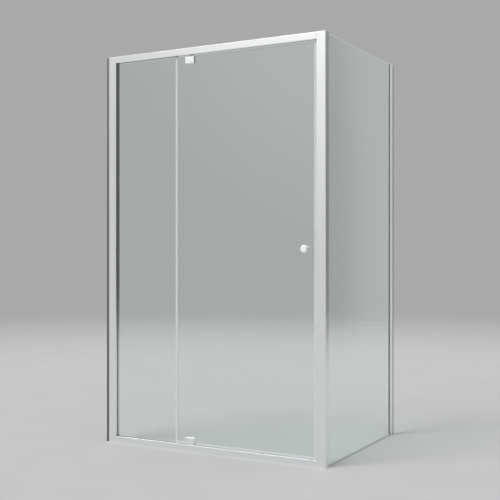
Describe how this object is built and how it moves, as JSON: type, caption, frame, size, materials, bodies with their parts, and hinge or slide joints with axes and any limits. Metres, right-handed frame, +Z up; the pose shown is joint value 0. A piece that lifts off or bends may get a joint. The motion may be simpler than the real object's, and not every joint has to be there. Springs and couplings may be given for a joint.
{
  "type": "corner shower screen",
  "caption": "Corner shower screen: bright framed front with a fixed glass panel and a pivoting glass door with a round knob, and a frameless glass return panel.",
  "frame": {"origin": "centre of the bounding box's bottom face, on the floor", "axes": "+X to the right along the front seen from outside, +Y from the front back to the rear wall, +Z up"},
  "size_m": [1.219, 0.897, 1.95],
  "materials": {
    "frame_aluminium": "bright silver anodised extrusion with a fine drawn grain",
    "channel_aluminium": "dull dark grey extrusion with a drawn grain",
    "clear_glass": "clear toughened glass with ground edges and a faint green tint",
    "hardware_chrome": "bright chrome plate with a slight satin",
    "stainless_steel": "plain stainless steel",
    "glazing_rubber": "smooth black glazing rubber",
    "seal_plastic": "translucent pale grey flexible plastic",
    "bush_nylon": "natural white nylon",
    "magnet_strip": "flexible magnetic strip"
  },
  "bodies": {
    "frame": {"left_wall_channel": "channel_aluminium", "left_jamb": "frame_aluminium", "left_jamb_cap": "frame_aluminium", "top_rail": "frame_aluminium", "sill": "frame_aluminium", "corner_post": "frame_aluminium", "post_side_cover": "frame_aluminium", "post_cap": "frame_aluminium", "rear_wall_channel": "channel_aluminium", "rear_jamb": "frame_aluminium", "rear_jamb_cap": "frame_aluminium", "frame_screws": "stainless_steel", "channel_lock_screws": "stainless_steel", "fixed_glass": "clear_glass", "fixed_glass_gaskets": "glazing_rubber", "setting_blocks": "glazing_rubber", "fixed_edge_seal": "seal_plastic", "rail_infills": "glazing_rubber", "sill_infills": "frame_aluminium", "top_pivot_bush": "bush_nylon", "bottom_pivot_bush": "bush_nylon", "post_strike_seal": "seal_plastic", "post_magnet": "magnet_strip", "return_glass": "clear_glass", "return_glass_gaskets": "glazing_rubber", "return_floor_strip": "seal_plastic"},
    "door": {"door_glass": "clear_glass", "top_pivot_body": "hardware_chrome", "top_pivot_back_plate": "hardware_chrome", "top_pivot_pads": "glazing_rubber", "top_pivot_screws": "stainless_steel", "top_pivot_pin": "stainless_steel", "bottom_pivot_body": "hardware_chrome", "bottom_pivot_back_plate": "hardware_chrome", "bottom_pivot_pads": "glazing_rubber", "bottom_pivot_screws": "stainless_steel", "bottom_pivot_pin": "stainless_steel", "outer_knob": "hardware_chrome", "inner_button": "hardware_chrome", "knob_stud": "stainless_steel", "knob_sleeve": "bush_nylon", "knob_washers": "bush_nylon", "door_strike_seal": "seal_plastic", "door_magnet": "magnet_strip", "door_bottom_seal": "seal_plastic"}
  },
  "joints": [
    {"name": "door_pivot", "type": "hinge", "parent": "frame", "child": "door", "pos_m": [-0.1115, -0.4125, 0], "axis": [0, 0, -1], "range_deg": [0, 110]}
  ]
}
